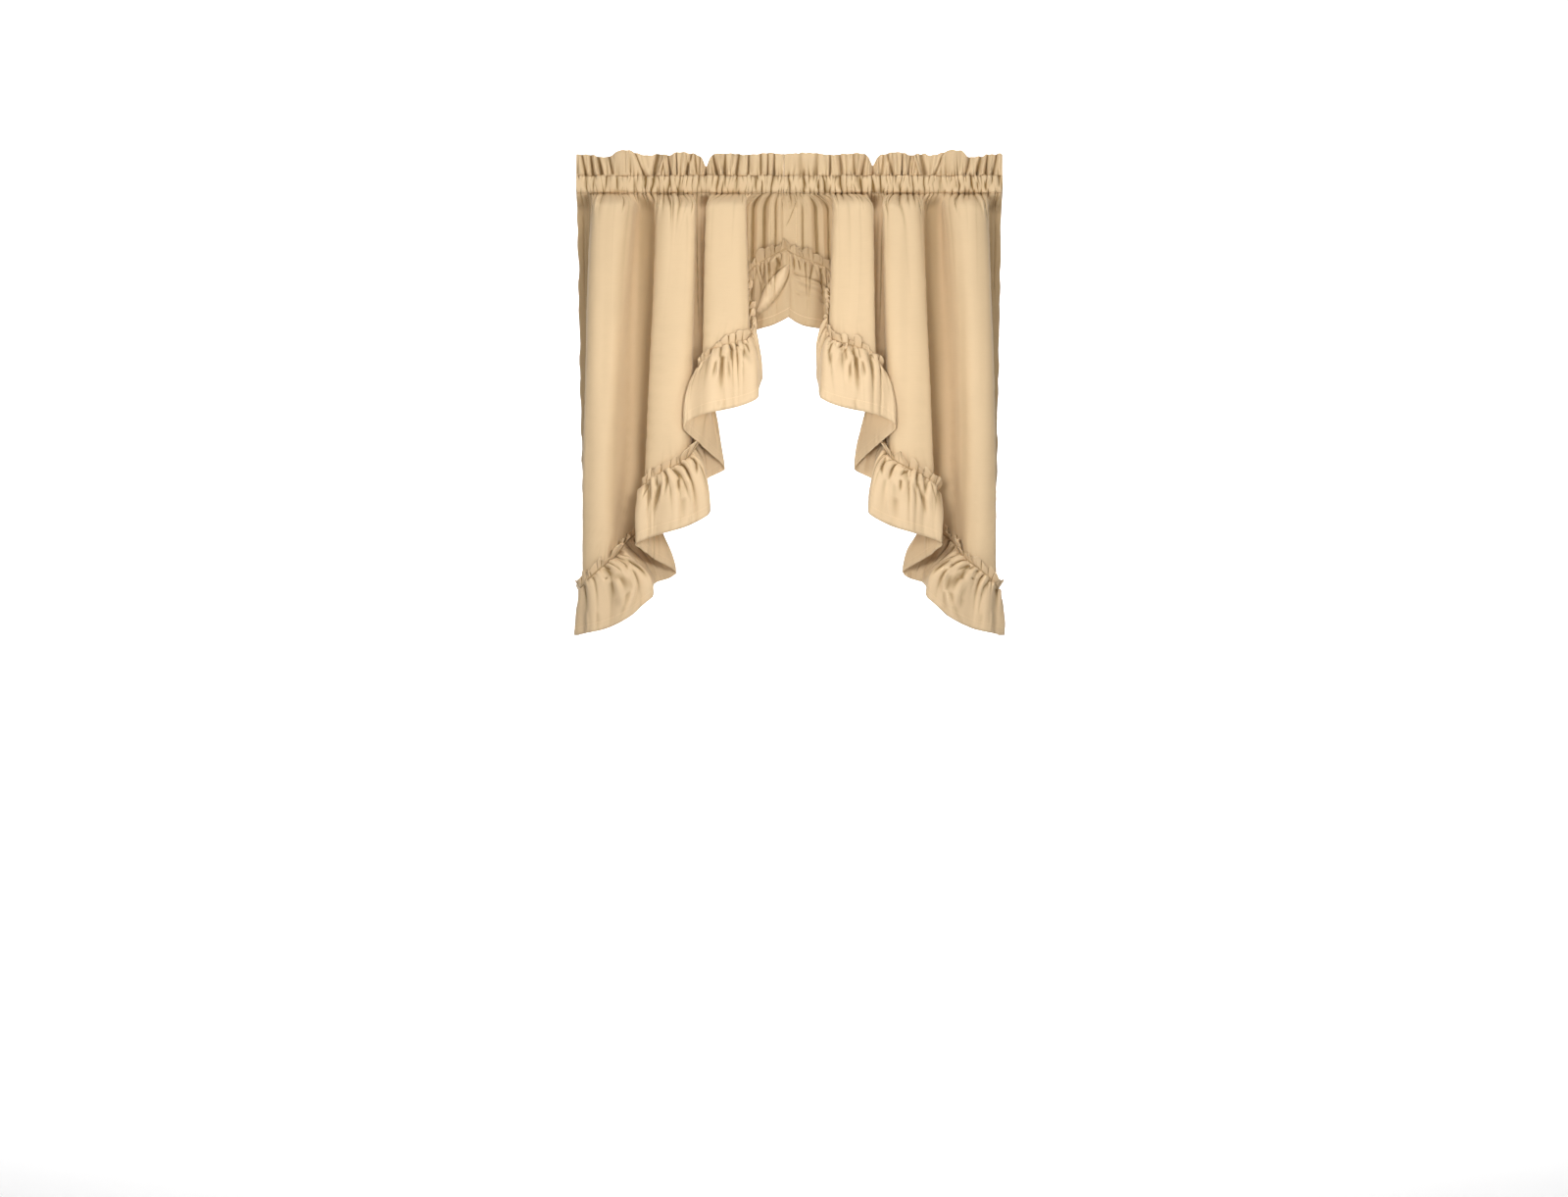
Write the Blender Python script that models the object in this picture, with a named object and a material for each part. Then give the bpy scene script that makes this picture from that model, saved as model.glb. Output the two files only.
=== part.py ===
"""A pair of ruffled swags, left and right, as they hang side by side on a curtain rod.

Each swag is a panel that falls in three standing folds from a gathered heading. Its lower edge climbs
from the outer side to the middle of the pair, and a gathered ruffle is sewn along that edge, so the
ruffle cascades from fold to fold. The heading is a rod pocket with a frill standing above it.

The origin is on the rod's line, in the middle of the pair. +X is to the viewer's right, +Y is away
from the viewer and +Z is up. The tables are in millimetres: "out" is the distance from the middle of
the pair towards that swag's own side, "forward" is the distance from the rod's line towards the viewer,
and "drop" is the distance below the rod's line.
"""

import math
from collections import namedtuple

import bmesh
import bpy
import numpy as np

MM = 0.001

# Cloth and sewing, in millimetres
CLOTH = 1.6
SEWN_GAP = 0.3
HALF_WIDTH = 425.0
MEETING_OUT = 10.7
HEM_MEETING_OUT = 4.0

# Rod pocket: a rounded tunnel, open at both ends
POCKET_HALF_HEIGHT = 16.2
POCKET_HALF_DEPTH = 8.8
POCKET_ROUNDNESS = 3.0
POCKET_STATIONS = 30
POCKET_SIDES = 12
POCKET_PUCKER = 0.8
POCKET_PUCKER_PITCH = 37.0

# Frill above the pocket
FRILL_STEPS_PER_ROW = 3
FRILL_RISES = (0.0, 0.14, 0.55, 1.0)

# Panel and ruffle
STEPS_PER_STATION = 5
BEND_RADIUS = 7.0
HEADING_EVENNESS = 0.6
TAB = 3.0
BREAK_OUT = 34.0
PANEL_SHARES = (0.03, 0.1, 0.24, 0.5, 0.75)
SEAM_ALLOWANCE = 1.0
HEADING_RISE = 16.0
HEADING_LEAN = 2.5
RUFFLE_SHARES = (0.0, 0.14, 0.3, 0.5, 0.73, 1.0)
RUFFLE_END_GAP = 0.4
GATHER_DEPTH = 5.0
GATHERS_PER_STATION = 1.25
# Shares of the skirt's spread and fall at its two inner control points, hanging straight and ballooned
EARLY_SPREAD = (0.0, 0.55)
EARLY_FALL = (0.24, 0.06)
LATE_FALL = (0.5, 0.35)

# A level is a row for each section of the cloth, from the middle of the pair outwards. Fold c, b and a
# stand forward and their inner and outer corners lie behind the crown; the gaps lie back between them.
Strip = namedtuple("Strip", "inner outer forward inner_back outer_back")
Edge = namedtuple("Edge", "inner outer forward inner_back outer_back inner_drop drop outer_drop")
Lobe = namedtuple("Lobe", "out forward rise")

STANDING = ("centre", "fold_c", "fold_b", "fold_a")
SECTIONS = ("centre", "fold_c", "gap_cb", "fold_b", "gap_ba", "fold_a", "side")
# How soon each section settles to the width it has at the seam
SETTLES = {"gap_ba": 1.3, "fold_a": 2.4, "side": 1.0}
# How much the ruffle balloons off its seam: 1 swells out at once, 0 hangs straight at first
BALLOONS = {"centre": 0.5, "fold_c": 1.0, "fold_b": 1.0, "fold_a": 1.0, "side": 0.7}

# Where each section of the cloth lies just below the rod pocket
TOP = {
    "centre": Strip(MEETING_OUT, 93, -10, 0, 0),
    "fold_c": Strip(87, 167, 50, 13, 13),
    "gap_cb": Strip(158, 188, -12, 0, 0),
    "fold_b": Strip(184, 262, 50, 14, 18),
    "gap_ba": Strip(269, 300, -9, 0, 0),
    "fold_a": Strip(310, 389, 50, 22, 12),
    "side": Strip(397, HALF_WIDTH, -22, 0, 0),
}
# Where the ruffle is sewn on
SEAM = {
    "centre": Edge(MEETING_OUT, 91, -12, 0, 0, 128, 152, 194),
    "fold_c": Edge(79, 174, 55, 12, 14, 304, 326, 374),
    "gap_cb": Edge(152, 187, -11, 0, 0, 424, 450, 478),
    "fold_b": Edge(198, 290, 55, 14, 20, 540, 573, 614),
    "gap_ba": Edge(262, 320, -9, 0, 0, 662, 688, 706),
    "fold_a": Edge(345, 408, 55, 22, 12, 740, 768, 802),
    "side": Edge(408, 409, -24, -30, 0, 814, 820, 826),
}
# The ruffle's lower edge
HEM = {
    "centre": Edge(HEM_MEETING_OUT, 89, 6, 0, 12, 264, 286, 308),
    "fold_c": Edge(52, 209, 85, 22, 20, 412, 454, 488),
    "gap_cb": Edge(128, 164, 2, 0, 0, 566, 574, 586),
    "fold_b": Edge(156, 301, 85, 22, 20, 650, 692, 724),
    "gap_ba": Edge(226, 268, 0, 0, 0, 772, 782, 794),
    "fold_a": Edge(272, 413, 82, 22, 20, 820, 878, 896),
    "side": Edge(418, 418, -14, -32, 0, 898, 898, 894),
}
# The frill's upper edge, a row for each wave
FRILL = (
    Lobe(MEETING_OUT, 2, 44),
    Lobe(44, 6, 46),
    Lobe(78, -4, 43),
    Lobe(104, -9, 45),
    Lobe(132, 6, 45),
    Lobe(154, 11, 39),
    Lobe(165, 1, 21),
    Lobe(177, -8, 38),
    Lobe(200, 2, 46),
    Lobe(224, 9, 46),
    Lobe(242, -4, 42),
    Lobe(264, -11, 46),
    Lobe(286, -3, 42),
    Lobe(312, 8, 49),
    Lobe(344, 10, 49),
    Lobe(360, -6, 39),
    Lobe(394, -5, 43),
    Lobe(HALF_WIDTH, 1, 44),
)

PANEL_LOOK = (0.69, 0.50, 0.28, 1.0), 0.62
RUFFLE_LOOK = (0.72, 0.53, 0.31, 1.0), 0.58


class Spline:
    """A smooth curve through rows of values, one row at each knot (a natural cubic spline)."""

    def __init__(self, knots, values):
        self.knots = np.asarray(knots, float)
        self.values = np.asarray(values, float).reshape(len(self.knots), -1)
        count = len(self.knots)
        gaps = np.diff(self.knots)
        slopes = np.diff(self.values, axis=0) / gaps[:, None]
        system = np.eye(count)
        right = np.zeros_like(self.values)
        for i in range(1, count - 1):
            system[i, i - 1 : i + 2] = gaps[i - 1], 2 * (gaps[i - 1] + gaps[i]), gaps[i]
            right[i] = 6 * (slopes[i] - slopes[i - 1])
        self.bends = np.linalg.solve(system, right)

    def __call__(self, where):
        where = np.asarray(where, float)
        last = len(self.knots) - 2
        i = np.clip(np.searchsorted(self.knots, where, side="right") - 1, 0, last)
        gap = self.knots[i + 1] - self.knots[i]
        a = ((self.knots[i + 1] - where) / gap)[:, None]
        b = 1 - a
        bends = (a**3 - a) * self.bends[i] + (b**3 - b) * self.bends[i + 1]
        return a * self.values[i] + b * self.values[i + 1] + bends * (gap**2)[:, None] / 6


def meeting_out(side, out=MEETING_OUT):
    """Where a swag's inner edge lies: the two swags meet a little to the left of the middle."""
    return -side * out + SEWN_GAP / 2


def stations(level, side):
    """The turning points of the cloth from the middle outwards: out, forward, drop, settles, balloons."""
    rows = []
    for section in SECTIONS:
        row = level[section]
        habits = SETTLES.get(section, 1.0), BALLOONS.get(section, 0.0)
        drops = (row.inner_drop, row.drop, row.outer_drop) if isinstance(row, Edge) else (0, 0, 0)
        inner = meeting_out(side, row.inner) if section == "centre" else row.inner
        rows.append((inner, row.forward - row.inner_back, drops[0], *habits))
        if section in STANDING:
            rows.append(((inner + row.outer) / 2, row.forward, drops[1], *habits))
        rows.append((row.outer, row.forward - row.outer_back, drops[2], *habits))
    return np.array(rows, float)


def softened(knots, rows, samples):
    """The smooth curve through the turning points, with no bend sharper than cloth takes."""
    reach = 3 * BEND_RADIUS
    fine = np.linspace(knots[0], knots[-1], int((knots[-1] - knots[0]) / 2) + 1)
    step = fine[1] - fine[0]
    curve = Spline(knots, rows)(fine)
    count = int(reach / step) + 1
    before = 2 * curve[0] - curve[count:0:-1]
    after = 2 * curve[-1] - curve[-2 : -count - 2 : -1]
    weights = np.exp(-0.5 * (np.arange(-count, count + 1) * step / BEND_RADIUS) ** 2)
    weights /= weights.sum()
    whole = np.concatenate([before, curve, after])
    soft = np.stack([np.convolve(column, weights, mode="valid") for column in whole.T], axis=1)
    return np.stack([np.interp(samples, fine, column) for column in soft.T], axis=1)


class Swag:
    """The curves of one swag: where the cloth runs below the pocket, at the seam and at the hem."""

    def __init__(self, side):
        self.side = side
        top, seam, hem = (stations(level, side) for level in (TOP, SEAM, HEM))
        lengths = [np.linalg.norm(np.diff(level[:, :2], axis=0), axis=1) for level in (top, seam)]
        self.knots = np.concatenate([[0], np.cumsum(sum(lengths) / 2)])
        steps = np.arange(STEPS_PER_STATION) / STEPS_PER_STATION
        spans = self.knots[:-1, None] + np.diff(self.knots)[:, None] * steps
        samples = np.append(spans.ravel(), self.knots[-1])
        self.station_number = np.interp(samples, self.knots, np.arange(len(self.knots)))
        self.top, self.seam, self.hem = (softened(self.knots, rows, samples) for rows in (top, seam, hem))
        self.settles = np.interp(samples, self.knots, seam[:, 3])
        self.balloons = np.interp(samples, self.knots, seam[:, 4]) ** 2
        self.heading_out = self.spread_heading(samples)

    def spread_heading(self, samples):
        """At the rod the cloth lies straight, so its out only grows along the cloth."""
        out = np.maximum.accumulate(self.top[:, 0])
        first, last = meeting_out(self.side), HALF_WIDTH
        out = np.interp(out, (out[0], out[-1]), (first, last))
        even = np.interp(samples, (samples[0], samples[-1]), (first, last))
        return out + HEADING_EVENNESS * (even - out)

    def panel_row(self, drop):
        """Points of the cloth at one drop for each sample, as (out, forward, drop)."""
        start = POCKET_HALF_HEIGHT + CLOTH / 2 + SEWN_GAP
        fallen = np.clip((drop - start) / (self.seam[:, 2] - start), 0, 1)
        fallen = (1 - (1 - fallen) ** self.settles)[:, None]
        hanging = self.top[:, :2] * (1 - fallen) + self.seam[:, :2] * fallen
        broken = np.clip((drop - start - TAB) / BREAK_OUT, 0, 1)[:, None]
        broken = 1 - (1 - broken) ** 2.4
        straight = np.stack([self.heading_out, np.zeros_like(drop)], axis=1)
        return np.column_stack([straight * (1 - broken) + hanging * broken, drop])

    def across(self, row):
        """The direction square to the cloth, towards its right side, seen from above."""
        along = np.gradient(row[:, :2], axis=0)
        along[0] = 1, 0
        square = np.stack([-along[:, 1], along[:, 0]], axis=1)
        return square / np.linalg.norm(square, axis=1)[:, None]

    def panel(self):
        """Rows of the panel from the pocket's lower stitch line to the seam."""
        start = POCKET_HALF_HEIGHT + CLOTH / 2 + SEWN_GAP
        seam_drop = self.seam[:, 2]
        length = seam_drop - HEADING_RISE - start - TAB
        rows = [np.full_like(seam_drop, start), np.full_like(seam_drop, start + TAB)]
        rows += [start + TAB + length * share for share in PANEL_SHARES]
        rows += [seam_drop - HEADING_RISE, seam_drop, seam_drop + SEAM_ALLOWANCE]
        return [self.panel_row(drop) for drop in rows]

    def ruffle(self):
        """The gathered ruffle: a short heading that leans off the panel, the seam, then the skirt."""
        seam_drop = self.seam[:, 2]
        clear = CLOTH + 2 * SEWN_GAP
        rows = []
        for rise, lean in ((HEADING_RISE, HEADING_LEAN), (HEADING_RISE / 2, HEADING_LEAN / 2)):
            row = self.panel_row(seam_drop - rise)
            row[:, :2] += self.across(row) * (clear + lean)
            rows.append(row)
        root = self.panel_row(seam_drop)
        root[:, :2] += self.across(root) * clear
        fall = self.hem[:, :3] - root
        spread, early_fall, late_fall = (
            (straight + (swollen - straight) * self.balloons)[:, None]
            for straight, swollen in (EARLY_SPREAD, EARLY_FALL, LATE_FALL)
        )
        early = root + fall * np.hstack([spread, spread, early_fall])
        late = root + fall * np.hstack([np.ones_like(fall[:, :2]), late_fall])
        gather = np.sin(2 * math.pi * GATHERS_PER_STATION * self.station_number)
        gather *= GATHER_DEPTH * np.clip(self.station_number, 0, 1) * (0.4 + 0.6 * self.balloons)
        for share in RUFFLE_SHARES:
            rest = 1 - share
            row = rest**3 * root + 3 * rest**2 * share * early
            row += 3 * rest * share**2 * late + share**3 * self.hem[:, :3]
            row[:, :2] += self.across(row) * (gather * math.sqrt(share))[:, None]
            rows.append(row)
        for row in rows:
            row[0, 0] += RUFFLE_END_GAP
        return rows

    def place(self, row):
        """(out, forward, drop) in millimetres to a position in metres."""
        out, forward, drop = np.asarray(row, float).T
        return np.column_stack([self.side * out, -forward, -drop]) * MM

    def name(self, piece):
        return ("left_" if self.side < 0 else "right_") + piece


def material(name, look):
    colour, roughness = look
    made = bpy.data.materials.new(name)
    made.use_nodes = True
    shader = made.node_tree.nodes["Principled BSDF"]
    shader.inputs["Base Color"].default_value = colour
    shader.inputs["Roughness"].default_value = roughness
    shader.inputs["Metallic"].default_value = 0.0
    return made


def cloth(name, rows, look, closed=False):
    """Rows of points joined to a sheet and given the cloth's thickness."""
    bm = bmesh.new()
    made = [[bm.verts.new(point) for point in row] for row in rows]
    for upper, lower in zip(made, made[1:]):
        ends = list(zip(upper, lower))
        ends += ends[:1] if closed else []
        for (a, d), (b, c) in zip(ends, ends[1:]):
            bm.faces.new((a, b, c, d))
    bmesh.ops.recalc_face_normals(bm, faces=bm.faces)
    mesh = bpy.data.meshes.new(name)
    bm.to_mesh(mesh)
    bm.free()
    mesh.shade_smooth()
    mesh.materials.append(material(name + "_cloth", look))
    sheet = bpy.data.objects.new(name, mesh)
    bpy.context.collection.objects.link(sheet)
    thick = sheet.modifiers.new("Thickness", "SOLIDIFY")
    thick.thickness = CLOTH * MM
    thick.offset = 0.0
    return sheet


def pocket_rows(side):
    """Rings of the rod pocket from its inner to its outer end."""
    rings = []
    for out in np.linspace(meeting_out(side), HALF_WIDTH, POCKET_STATIONS):
        wave = math.sin(2 * math.pi * out / POCKET_PUCKER_PITCH)
        wave += 0.6 * math.sin(2 * math.pi * out / (0.61 * POCKET_PUCKER_PITCH))
        ring = []
        for k in range(POCKET_SIDES):
            angle = 2 * math.pi * (k + 0.5) / POCKET_SIDES
            c, s = math.cos(angle), math.sin(angle)
            size = (abs(c) ** POCKET_ROUNDNESS + abs(s) ** POCKET_ROUNDNESS) ** (-1 / POCKET_ROUNDNESS)
            forward = size * c * (POCKET_HALF_DEPTH + abs(c) * POCKET_PUCKER * wave)
            ring.append((out, forward, size * s * POCKET_HALF_HEIGHT))
        rings.append(ring)
    return rings


def frill_rows(side):
    """The frill above the pocket: straight where it is sewn, waved at its upper edge."""
    lobes = np.array(FRILL, float)
    lobes[0, 0] = meeting_out(side)
    steps = np.arange(len(FRILL))
    curve = Spline(steps, lobes)
    where = np.linspace(0, steps[-1], FRILL_STEPS_PER_ROW * steps[-1] + 1)
    edge = curve(where)
    edge[:, 0] = np.clip(edge[:, 0], meeting_out(side), HALF_WIDTH)
    base = POCKET_HALF_HEIGHT + CLOTH / 2 + SEWN_GAP
    rows = []
    for share in FRILL_RISES:
        spread = max(0.0, share - FRILL_RISES[1]) / (1 - FRILL_RISES[1])
        forward = edge[:, 1] * spread**0.8
        drop = -(base + share * edge[:, 2])
        rows.append(np.column_stack([edge[:, 0], forward, drop]))
    return rows


def build_swag(side):
    swag = Swag(side)
    cloth(swag.name("panel"), [swag.place(row) for row in swag.panel()], PANEL_LOOK)
    cloth(swag.name("ruffle"), [swag.place(row) for row in swag.ruffle()], RUFFLE_LOOK)
    cloth(swag.name("rod_pocket"), [swag.place(r) for r in pocket_rows(side)], PANEL_LOOK, closed=True)
    cloth(swag.name("heading_frill"), [swag.place(row) for row in frill_rows(side)], PANEL_LOOK)


def main():
    for old in list(bpy.data.objects):
        bpy.data.objects.remove(old)
    for side in (-1, 1):
        build_swag(side)


main()
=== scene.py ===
"""The looks of a pair of ruffled swags that hang side by side on a curtain rod.

Each swag is four pieces of cloth: a panel in three standing folds, the ruffle sewn along its climbing
lower edge, the rod pocket and the frill above it. Every piece is a thin sheet on the folds of its solid,
with the gathers, creases, hems and stitches that the solids leave out.

Lengths are in millimetres until a sheet is placed. "Out" is the distance from the middle of the pair
towards that swag's own side, "forward" the distance from the rod's line towards the viewer, and "drop"
the distance below the rod's line.
"""

import math
from collections import namedtuple

import bpy
import numpy as np
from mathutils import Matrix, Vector


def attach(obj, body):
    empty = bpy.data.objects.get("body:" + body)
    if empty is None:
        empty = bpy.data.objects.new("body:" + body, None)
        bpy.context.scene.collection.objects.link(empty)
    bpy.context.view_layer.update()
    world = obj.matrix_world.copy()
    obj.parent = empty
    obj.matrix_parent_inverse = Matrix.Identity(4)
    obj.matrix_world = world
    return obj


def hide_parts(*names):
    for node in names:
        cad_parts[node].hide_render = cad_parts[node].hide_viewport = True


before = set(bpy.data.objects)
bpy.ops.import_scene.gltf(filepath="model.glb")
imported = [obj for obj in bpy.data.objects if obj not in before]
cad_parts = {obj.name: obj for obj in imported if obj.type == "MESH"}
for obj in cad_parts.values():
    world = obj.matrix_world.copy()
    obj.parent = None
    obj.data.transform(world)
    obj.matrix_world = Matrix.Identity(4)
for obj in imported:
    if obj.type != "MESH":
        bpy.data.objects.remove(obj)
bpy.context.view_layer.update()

MM = 0.001

# Sizes shared with the solids
SOLID_CLOTH = 1.6
SEWN_GAP = 0.3
HALF_WIDTH = 425.0
MEETING_OUT = 10.7
HEM_MEETING_OUT = 4.0
POCKET_HALF_HEIGHT = 16.2
POCKET_HALF_DEPTH = 8.8
POCKET_ROUNDNESS = 3.0
BEND_RADIUS = 7.0
HEADING_EVENNESS = 0.6
TAB = 3.0
BREAK_OUT = 34.0
HEADING_LEAN = 2.5
GATHER_DEPTH = 5.0
GATHERS_PER_STATION = 1.25
EARLY_SPREAD = (0.0, 0.55)
EARLY_FALL = (0.24, 0.06)
LATE_FALL = (0.5, 0.35)

# The sheets' own sizes
CLOTH = 0.9
STITCH_HEIGHT = 16.4
SIDE_HEM = 26.0
LOWER_HEM = 12.0
SKIRT_DEPTH = 138.0
STITCH_LENGTH = 3.0
TUCKED_BEHIND = 9.0
TUCKED_DEEPER = 30.0
DEEPER_STATIONS = (2.6, 7.5, 12.5)
HEADING_RISE = 18.24
RISE_CHANGE = 4.8
CREASE_DEPTH = 1.25
CREASE_WIDTH = 0.68
FOLD_DEPTH = 1.7
PANEL_COLUMNS, PANEL_ROWS = 460, 80
RUFFLE_COLUMNS, HEADING_ROWS, SKIRT_ROWS = 840, 12, 45
FRILL_COLUMNS, FRILL_ROWS = 520, 24
POCKET_COLUMNS, POCKET_SIDES = 470, 36

# The width of a swell that runs on past the sheet
ENDLESS = 1e9

# Flat sizes before sewing and gathering, in metres
PANEL_FLAT, PANEL_CUT_AREA = (0.711, 0.81), 0.335
RUFFLE_FLAT = (1.35, 0.155)
FRILL_FLAT = (0.711, 0.046)
POCKET_FLAT = (0.711, 0.078)

# The stage and the camera, in metres but for the lens
FLOOR_DROP = 2.1
BACKDROP_BEHIND = 6.5
SWEEP_RADIUS = 1.5
CAMERA_PLACE = (-0.0107, -8.0, -0.8256)
CAMERA_LENS = 92.1

# The cloth's tones, and the tint that the painted shade takes in full where its shade is 1
PANEL_TONE, PANEL_ROUGHNESS = (0.70, 0.515, 0.305), 0.55
RUFFLE_TONE, RUFFLE_ROUGHNESS = (0.70, 0.515, 0.31), 0.52
PAINTED_SHADE_TINT = (0.30, 0.222, 0.075, 1)
# Painted shade on the side strip, in the gap between the outer folds (less of it lower down), in the middle
# and along the ruffle's seam
SIDE_SHADE = 0.41
GAP_SHADE, GAP_SHADE_LOST = 0.49, 0.17
CENTRE_SHADE, RUFFLE_CENTRE_SHADE = 0.2, 0.32
SEAM_SHADE = 0.7

Strip = namedtuple("Strip", "inner outer forward inner_back outer_back")
Edge = namedtuple("Edge", "inner outer forward inner_back outer_back inner_drop drop outer_drop")

STANDING = ("centre", "fold_c", "fold_b", "fold_a")
SECTIONS = ("centre", "fold_c", "gap_cb", "fold_b", "gap_ba", "fold_a", "side")

# Where each section of the cloth lies just below the rod pocket: how far out its two edges are, how far
# forward it stands, and how far back from there its edges lie
TOP = {
    "centre": Strip(MEETING_OUT, 93, -10, 0, 0),
    "fold_c": Strip(87, 167, 50, 13, 13),
    "gap_cb": Strip(158, 188, -12, 0, 0),
    "fold_b": Strip(184, 262, 50, 14, 18),
    "gap_ba": Strip(269, 300, -9, 0, 0),
    "fold_a": Strip(310, 389, 50, 22, 12),
    "side": Strip(397, HALF_WIDTH, -22, 0, 0),
}
# Where the ruffle is sewn on, with the drop at the inner edge, in the middle and at the outer edge
SEAM = {
    "centre": Edge(MEETING_OUT, 91, -12, 0, 0, 128, 152, 194),
    "fold_c": Edge(79, 174, 55, 12, 14, 304, 326, 374),
    "gap_cb": Edge(152, 187, -11, 0, 0, 424, 450, 478),
    "fold_b": Edge(198, 290, 55, 14, 20, 540, 573, 614),
    "gap_ba": Edge(262, 320, -9, 0, 0, 662, 688, 706),
    "fold_a": Edge(345, 408, 55, 22, 12, 740, 768, 802),
    "side": Edge(408, 409, -24, -30, 0, 814, 820, 826),
}
# The ruffle's lower edge
HEM = {
    "centre": Edge(HEM_MEETING_OUT, 89, 6, 0, 12, 264, 286, 308),
    "fold_c": Edge(52, 209, 85, 22, 20, 412, 454, 488),
    "gap_cb": Edge(128, 164, 2, 0, 0, 566, 574, 586),
    "fold_b": Edge(156, 301, 85, 22, 20, 650, 692, 724),
    "gap_ba": Edge(226, 268, 0, 0, 0, 772, 782, 794),
    "fold_a": Edge(272, 413, 82, 22, 20, 820, 878, 896),
    "side": Edge(418, 418, -14, -32, 0, 898, 898, 894),
}
# The frill's upper edge: how far out and forward each wave lies and how high above the stitch line
FRILL = (
    (MEETING_OUT, 2, 44),
    (44, 6, 46),
    (78, -4, 43),
    (104, -9, 45),
    (132, 6, 45),
    (154, 11, 39),
    (165, 1, 21),
    (177, -8, 38),
    (200, 2, 46),
    (224, 9, 46),
    (242, -4, 42),
    (264, -11, 46),
    (286, -3, 42),
    (312, 8, 49),
    (344, 10, 49),
    (360, -6, 39),
    (394, -5, 43),
    (HALF_WIDTH, 1, 44),
)

# Rows of gathers: how far apart the ridges stand, how high they are, how far they run (None runs on), what
# share of the height is sunk below the cloth, how high the lowest ridge is beside the highest, and how uneven
# the distances are
Row = namedtuple("Row", "pitch height reach sunk least unevenness")
ROD_LOWER = Row(9.5, 9.0, 8, 0.4, 0.2, 0.55)
ROD_UPPER = Row(8.5, 9.0, 11, 0.4, 0.2, 0.55)
ROD_BROAD = Row(25, 7.0, None, 0.5, 0.3, 0.6)
RUFFLE_FINE = Row(9, 7.4, 26, 0.3, 0.2, 0.55)
RUFFLE_MEDIUM = Row(17, 9.5, 82, 0.4, 0.2, 0.6)
RUFFLE_BROAD = Row(36, 9.0, 74, 0.2, 0.35, 0.45)
RUFFLE_HEM = Row(12, 2.2, 11, 0.4, 0.05, 0.6)
HEADING_CRINKLES = Row(13, 11.0, None, 0.0, 0.15, 0.6)
PANEL_FOLDS = Row(27, 1.5, 110, 0.4, 0.35, 0.45)
SEAM_PULLS = Row(12, 2.2, 22, 0.4, 0.1, 0.45)
SIDE_HEM_TUGS = Row(15, 0.9, 9, 0.4, 0.1, 0.45)
FRILL_PLEATS = Row(19, 5.0, None, 0.4, 0.1, 0.6)
TOOTH_HEIGHT = 2.6

# How far along the rod the gathers of the pocket's back are taken from
BACK_SHIFT = 217

# How each section hangs: how soon it takes the shape it has at the seam, how far the ruffle on it balloons,
# how far its gathers run down from the pocket, and how strong they are beside the pocket's
Habit = namedtuple("Habit", "settles balloons reach strength")
HABITS = {
    "centre": Habit(1.0, 0.5, 20, 0.8),
    "fold_c": Habit(1.0, 1.0, 9, 1.0),
    "gap_cb": Habit(1.0, 0.0, 30, 1.0),
    "fold_b": Habit(1.0, 1.0, 20, 1.7),
    "gap_ba": Habit(1.3, 0.0, 16, 1.2),
    "fold_a": Habit(2.4, 1.0, 11, 1.1),
    "side": Habit(1.0, 0.7, 44, 0.9),
}
# Stations count the turning points of the cloth from the middle outwards. Where the centre ends, where the
# side strip starts, the middle of the gap between the two outer folds, and where the ruffle's heading
# bunches up, with half the width of each bunch
CENTRE_ENDS = (1.9, 2.4)
SIDE_STARTS = (15.6, 16.2)
GAP_MIDDLE = 11.45
BUNCHES = ((2.9, 0.35), (8.1, 0.4), (13.15, 0.4), (11.6, 0.7))

# Folds and creases given one by one, each row as Crease names it, from one end of the crease to the other.
# Down is measured on the cloth: from the rod's line on the panel, from the seam on the ruffle. Height is
# below 0 for a trough.
Crease = namedtuple("Crease", "station down to_station to_down width height")
PANEL_CREASES = (
    (11.62, 470, 11.42, 640, 15, -2.2),
    (11.3, 540, 11.2, 660, 11, 1.6),
    (6.5, 60, 6.4, 330, 5, 2.0),
    (6.9, 90, 6.8, 300, 4, -1.6),
    (6.1, 140, 6.1, 380, 5, -1.4),
    (8.15, 24, 8.35, 62, 4, -2.6),
    (8.75, 22, 8.85, 44, 3, 1.8),
    (9.15, 22, 9.1, 40, 3, 1.8),
    (9.75, 24, 9.95, 70, 4, -2.6),
    (10.1, 30, 10.3, 90, 4, 2.0),
    (13.4, 24, 13.55, 60, 4, -2.4),
    (14.75, 24, 14.85, 66, 4, 1.6),
    (15.0, 26, 15.1, 78, 4, -2.2),
    (3.25, 22, 3.3, 44, 3, -1.8),
    (4.7, 22, 4.8, 50, 3, -1.8),
    (16.35, 60, 16.25, 420, 4, 1.6),
    (16.6, 40, 16.5, 300, 3, -1.6),
    (16.15, 330, 16.3, 640, 4, -1.6),
    (16.5, 420, 16.7, 470, 3, 1.4),
    (16.3, 500, 16.7, 530, 3, 1.2),
)
INNER_CREASES = {
    "left": (
        (1.62, 18, 1.74, 260, 5, 2.4),
        (1.43, 18, 1.55, 260, 6, -3.2),
        (1.19, 18, 1.30, 250, 8, 3.4),
        (0.95, 18, 1.06, 250, 6, -3.4),
        (0.70, 18, 0.83, 250, 9, 3.4),
        (0.42, 18, 0.48, 240, 6, -3.0),
        (0.22, 18, 0.24, 200, 6, 1.4),
    ),
    "right": (
        (0.52, 16, 0.52, 36, 2, -1.8),
        (0.52, 34, 0.07, 88, 2.2, -2.4),
        (0.20, 20, 0.14, 60, 5, 1.6),
        (0.97, 18, 1.12, 250, 9, 3.2),
        (0.73, 18, 0.81, 240, 6, -2.8),
        (1.17, 18, 1.32, 255, 6, -3.4),
        (1.37, 18, 1.52, 260, 7, 3.2),
        (1.58, 18, 1.70, 265, 5, -3.2),
        (1.76, 18, 1.86, 270, 5, 2.4),
    ),
}
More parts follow.
